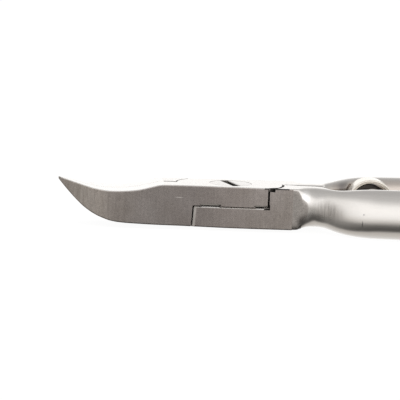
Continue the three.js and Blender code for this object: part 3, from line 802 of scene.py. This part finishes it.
def paint_half(ob):
    """Each region of a half gets the finish its grinding or blasting gave it; the gap, seat and under_edge regions get
    painted shade and the edge region a painted highlight.
    """
    order = ["satin", "brushed", "ground", "hollow", "machined", "seat", "gap", "edge", "corner", "under_edge"]
    ob.data.materials.clear()
    for k in order:
        ob.data.materials.append(MAT[k])
    for f in ob.data.polygons:
        x, y, z = (f.center[0] * 1000 + OFF[0], f.center[1] * 1000, f.center[2] * 1000 + OFF[2])
        n = f.normal
        w = HALF_WIDTH(x)
        k = "satin"
        if x > 76.5 and abs(z) < 1.01 and (abs(n.z) > 0.9 or abs(n.x) > 0.95):
            k = "machined"
        # painted shade in the grooves along the parting line on top and round the rear arc
        elif x < 14.3 and z > 2.98 and z < 3.199 and 0.3 < n.z < 0.985 and abs(y) < 0.3 and (x > 8.4 or -10.95 < x < -8.4):
            k = "gap"
        elif 5.0 < x < 9.0 and -5.5 < y < -0.5 and 2.5 < z < 3.195 and n.z < 0.98:
            k = "gap"
        elif 5.4 < x < 7.0 and y < -3.2 and 2.5 < z < 2.75 and n.z > 0.9:
            k = "ground"
        # painted highlight on the chamfer at the lower lap's upper edge
        elif -7.5 < x < 6.3 and y < -3.9 and -0.35 < z < 0.0 and n.y < -0.55 and n.z > 0.55:
            k = "edge"
        elif -6.4 < x < -5.0 and y < -4.0 and z < -0.2 and n.x < -0.25 and n.y < -0.25:
            k = "corner"
        # painted shade on the head's rounded lower edges
        elif -19.0 < x < 11.2 and z < -2.2 and -0.97 < n.z < -0.25 and abs(n.y) > 0.2:
            k = "under_edge"
        # painted shade in the wedges of the long gap and on the notch's walls
        elif -6.0 < x < 6.3 and y < -3.6 and abs(z) < 0.5 and abs(n.y) < 0.6:
            k = "gap"
        elif 5.4 < x < 6.9 and y < -3.4 and -0.4 < z < 3.19 and abs(n.y) < 0.6:
            k = "gap"
        elif x < 12.4:
            outer = abs(y) > w - 0.3
            if x < -10.9 and n.z > 0.45:
                k = "hollow"
            elif n.z > 0.4 and z > 2.95:
                k = "ground"
            elif x > 9.8 and (abs(y) > 2.0 or n.z < -0.5):
                k = "satin"
            elif outer and z < 3.19:
                k = "brushed"
            elif n.z < -0.9 and z < -2.0 and x > -19:
                k = "brushed"
            elif x < -19 and n.z < -0.1 and abs(y) > 0.06:
                k = "brushed"
            else:
                k = "machined"
        elif x < 15.4 and z > 3.17 and n.z > 0.9:
            k = "ground"
        # painted shade on the spring's seat
        elif 18.6 < x < 27.2 and abs(abs(y) - SEAT_Y) < 0.03 and abs(n.y) > 0.95:
            k = "seat"
        f.material_index = order.index(k)


for ob, name, body, slot in (
    (upper, "upper_half_steel_body", "upper_body", "upper_half_steel"),
    (lower, "lower_half_steel_body", "lower_body", "lower_half_steel"),
):
    to_row(ob)
    smooth(ob, 33)
    paint_half(ob)
    place(ob, name, body, [name.replace("_steel_body", "")])


def simple_piece(ob, name, body, node, mat, angle=33):
    to_row(ob)
    ob.data.materials.clear()
    ob.data.materials.append(MAT[mat])
    smooth(ob, angle)
    return place(ob, name, body, [node])


# pivot screw: flush slotted head with a broken rim, shank through both laps
screw = turned("screw", [
    (0, -3.15), (1.9, -3.15), (2.12, -3.05), (2.2, -2.9), (2.2, 1.4), (3.34, 1.4), (3.34, 3.1), (3.33, 3.15), (3.29, 3.18),
    (3.2, 3.19), (2.2, 3.19), (1.1, 3.19), (0, 3.19),
], 144)
slot_cut = box("slot", -0.65, 0.65, -6, 6, 3.185 - 0.9, 5)
slot_cut.data.transform(Matrix.Rotation(math.radians(15), 4, "Z"))
screw = cut(screw, slot_cut)
slot_edge = loft("slot_edge", [
    [(-0.62, y, 3.0), (0.62, y, 3.0), (0.78, y, 3.26), (-0.78, y, 3.26)] for y in (-6, 6)
])
slot_edge.data.transform(Matrix.Rotation(math.radians(15), 4, "Z"))
screw = cut(screw, slot_edge)
simple_piece(screw, "pivot_screw_slotted", "lower_body", "pivot_screw", "screw")
# the slot's walls get the painted shade of the gap material
screw.data.materials.append(MAT["gap"])
for f in screw.data.polygons:
    z = f.center[2] * 1000 + OFF[2]
    if 2.2 < z < 3.17 and math.hypot(f.center[0] * 1000 + OFF[0], f.center[1] * 1000) < 3.1:
        f.material_index = 1

# spring studs
for side, node, body, r, rise in (
    (1, "far_spring_stud", "upper_body", 2.9, 1.2), (-1, "near_spring_stud", "lower_body", 0.8, 2.2),
):
    tip = SEAT_Y - rise
    rows = [
        (0, SEAT_Y + 2.5), (0.74, SEAT_Y + 2.5), (0.8, SEAT_Y + 2.42), (0.8, SEAT_Y - 0.05), (r + 0.001, SEAT_Y - 0.05),
        (r + 0.001, SEAT_Y - 0.11), (r, tip + 0.2), (r - 0.03, tip + 0.1), (r - 0.09, tip + 0.03), (r - 0.2, tip),
        (0.5 * r, tip), (0.3 * r, tip + 0.05), (0, tip + 0.1),
    ]
    stud = turned_y("stud", [(q, side * y) for q, y in rows], 96, SPRING_X)
    simple_piece(stud, node + "_turned", body, node, "stud")


# volute spring: flat strip wound on edge. The outer turn lies flat against the far handle, then each turn lies
# inside the last and nearer the near handle.
SPRING_HALF, STRIP, STRIP_WIDTH, STRIP_TURNS, STRIP_FLUSH = 5.15, 0.56, 3.9, 2.05, 0.52
STRIP_R_OUT, STRIP_R_IN, STRIP_START = 3.65, 1.3, math.radians(-29)


def strip_ring(t):
    u = STRIP_TURNS * t
    f = max(0.0, (u - STRIP_FLUSH) / (STRIP_TURNS - STRIP_FLUSH))
    f_smooth = f + 0.06 * math.exp(-((u - STRIP_FLUSH) / 0.07) ** 2) * 0.35  # ease into the inward wind
    r = STRIP_R_OUT + (STRIP_R_IN - STRIP_R_OUT) * f_smooth * (1 + 0.35 * (1 - f_smooth))
    mid = (SPRING_HALF - STRIP_WIDTH / 2) * (1 - 2 * f_smooth)
    a = 2 * math.pi * u + STRIP_START
    h, w, c = STRIP / 2, STRIP_WIDTH / 2, 0.13
    section = [(h, y) for y in np.linspace(-w + c, w - c, 9)]
    section += [(h - c * (1 - math.cos(v)), w - c + c * math.sin(v)) for v in (0.4, 0.79, 1.18, 1.5708)]
    section += [(-h + c * (1 - math.sin(v)), w - c + c * math.cos(v)) for v in (0.0, 0.4, 0.79, 1.18)]
    section += [(-h, y) for y in np.linspace(w - c, -w + c, 9)]
    section += [(-h + c * (1 - math.cos(v)), -w + c - c * math.sin(v)) for v in (0.4, 0.79, 1.18, 1.5708)]
    section += [(h - c * (1 - math.sin(v)), -w + c - c * math.cos(v)) for v in (0.0, 0.4, 0.79, 1.18)]
    return [
        (SPRING_X + (r + q) * math.cos(a), mid + y, SPRING_Z + (r + q) * math.sin(a)) for q, y in section
    ]


spring = loft("spring", [strip_ring(i / 360) for i in range(361)])
to_row(spring)
next(n for n in MAT["strip"].node_tree.nodes if n.type == "BSDF_PRINCIPLED").inputs["Metallic"].default_value = 0.6
spring.data.materials.append(MAT["strip"])
spring.data.materials.append(MAT["strip_inside"])
# faces on the inner side of each turn get painted shade
for f in spring.data.polygons:
    radial = Vector((f.center[0] - (SPRING_X - OFF[0]) / 1000, 0, f.center[2] - (SPRING_Z - OFF[2]) / 1000)).normalized()
    if f.normal.dot(radial) < -0.6:
        f.material_index = 1
smooth(spring, 40)
spring.name = spring.data.name = "volute_spring_strip"
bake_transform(spring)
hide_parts("volute_spring")

# lock lever, stamped from sheet, with rounded edges
span = 2 * LOCK_Y
plan = arc(1.9, 180, 360, 28)
plan += [(1.9, span - 4.2), (2.02, span - 3.6), (2.3, span - 2.9), (2.5, span - 2.3), (2.5, span - 1.45), (0.15, span - 1.45)]
plan += [(0.15 + x * 0.999, span + y * 0.999) for x, y in arc(1.45, -90, -270, 24)]
plan += [(2.3, span + 1.45), (2.3, span + 2.1), (2.2, span + 2.5), (1.9, span + 2.85), (1.5, span + 3.0), (-0.6, span + 3.0),
         (-1.3, span + 2.85), (-1.9, span + 2.4), (-2.2, span + 1.8), (-2.3, span - 2.4), (-2.25, span - 3.0), (-1.98, span - 3.8), (-1.9, span - 4.2)]
clean = [plan[0]]
for q in plan[1:]:
    if math.dist(q, clean[-1]) > 0.03:
        clean.append(q)
if math.dist(clean[0], clean[-1]) < 0.03:
    clean.pop()
lever = prism("lever", clean, -0.7, 0.7)
lever.data.transform(Matrix.Translation((LOCK_X, -LOCK_Y, 0)) @ Matrix.Rotation(math.radians(75), 4, "Z"))
lever = cut(lever, hole_z(1.27, -5, 5, LOCK_X, -LOCK_Y, 48))
bev = lever.modifiers.new("edge", "BEVEL")
bev.width, bev.segments, bev.limit_method, bev.angle_limit = 0.14, 2, "ANGLE", math.radians(50)
dg = bpy.context.evaluated_depsgraph_get()
lever.data = bpy.data.meshes.new_from_object(lever.evaluated_get(dg))
lever.modifiers.clear()
simple_piece(lever, "lock_lever_sheet", "lock", "lock_lever", "lever")

# rivet and catch pin, with slightly domed ends set just below the handle's surface
for side, node, body in ((-1, "lock_rivet", "lower_body"), (1, "catch_pin", "upper_body")):
    pin = turned("pin", [
        (0, -3.3), (0.7, -3.27), (1.05, -3.17), (1.2, -3.0), (1.2, 3.0), (1.05, 3.17), (0.7, 3.27), (0, 3.3),
    ], 64, LOCK_X, side * LOCK_Y)
    simple_piece(pin, node + "_turned", body, node, "pin")


# ------------------------------------------------------------------ floor, light, camera
floor = prism("studio_floor", [(-3, -3), (3, -3), (3, 3), (-3, 3)], -0.02, -0.00003)
fm, nt, p = node_tree("studio_floor_pale")
p.inputs["Base Color"].default_value = (0.09, 0.09, 0.09, 1)
p.inputs["Roughness"].default_value = 1.0
p.inputs["Specular IOR Level"].default_value = 0.0
p.inputs["Emission Color"].default_value = (1.0, 1.0, 1.0, 1)
p.inputs["Emission Strength"].default_value = 0.95
floor.data.materials.append(fm)
floor.visible_glossy = False

world = bpy.data.worlds.new("studio")
bpy.context.scene.world = world
world.use_nodes = True
nt = world.node_tree
nt.nodes.clear()
out = nt.nodes.new("ShaderNodeOutputWorld")
bg = nt.nodes.new("ShaderNodeBackground")
nt.links.new(bg.outputs[0], out.inputs["Surface"])
tc = nt.nodes.new("ShaderNodeTexCoord")
sep = nt.nodes.new("ShaderNodeSeparateXYZ")
nt.links.new(tc.outputs["Generated"], sep.inputs[0])
forward = math_node(nt, "SUBTRACT", math_node(nt, "MULTIPLY", math_node(nt, "ABSOLUTE", sep.outputs["X"]), 0.9), sep.outputs["Y"])
around = math_node(nt, "ARCTAN2", sep.outputs["Z"], forward)
turn = map_range(nt, around, -math.pi, math.pi, 0.0, 1.0)
# brightness of the studio round the tool: angle from the camera's side of the horizon, up over the top and back
LIGHT = [
    (-180, 1.3), (-150, 1.2), (-119, 0.95), (-88, 0.78), (-64, 0.68), (-57, 0.48), (-50, 0.2), (-42, 0.11), (-32, 0.12),
    (-22, 0.17), (-14, 0.24), (-8, 0.36), (-5.5, 0.70), (-3, 1.08), (0, 1.32), (6, 1.46), (15, 1.5), (25, 1.38), (34, 1.02), (46, 0.76), (81, 0.64),
    (110, 0.62), (130, 0.66), (150, 0.78), (162, 1.1), (172, 1.34), (180, 1.3),
]


def warm(t, v):
    k = 1.0 if -100 < t < 0 else 0.25
    return (v * (1 + 0.02 * k), v * (1 - 0.02 * k), v * (1 - 0.07 * k))


sky = ramp(nt, turn, [((t + 180) / 360, warm(t, v)) for t, v in LIGHT])
side = math_node(nt, "MULTIPLY", math_node(nt, "POWER", math_node(nt, "ABSOLUTE", sep.outputs["X"]), 3.0), 0.35)
sky = mix_colour(nt, "MIX", side, sky, (0.62, 0.60, 0.57))
nt.links.new(sky, bg.inputs["Color"])

lamp_data = bpy.data.lights.new("overhead_softbox", "AREA")
lamp_data.shape, lamp_data.size, lamp_data.size_y, lamp_data.energy = "RECTANGLE", 1.2, 1.2, 4.0
lamp = bpy.data.objects.new("overhead_softbox", lamp_data)
lamp.location = (0, 0, 1.2)
lamp.visible_glossy = False
bpy.context.scene.collection.objects.link(lamp)

ELEVATION, YAW, ROLL = 8.0, 4.0, 2.3
PX_PER_MM, DISTANCE = 6.25, 400.0
target = rowpoint(-4.8, 0.0, 0.33)
e, a, r = (math.radians(v) for v in (ELEVATION, YAW, ROLL))
look = Vector((math.sin(a) * math.cos(e), math.cos(a) * math.cos(e), -math.sin(e)))
right0 = Vector((math.cos(a), -math.sin(a), 0))
up0 = right0.cross(look)
right = right0 * math.cos(r) + up0 * math.sin(r)
up = up0 * math.cos(r) - right0 * math.sin(r)
cam_data = bpy.data.cameras.new("camera")
cam_data.sensor_width = 36.0
cam_data.lens = 36.0 * DISTANCE / (400 / PX_PER_MM)
cam_data.clip_start = 0.01
cam = bpy.data.objects.new("camera", cam_data)
m = Matrix.Identity(4)
for i, col in enumerate((right, up, -look)):
    m[0][i], m[1][i], m[2][i] = col
m.translation = target - look * (DISTANCE / 1000)
cam.matrix_world = m
bpy.context.scene.collection.objects.link(cam)
bpy.context.scene.camera = cam
bpy.context.scene.view_settings.view_transform = "Standard"
bpy.context.scene.view_settings.look = "None"
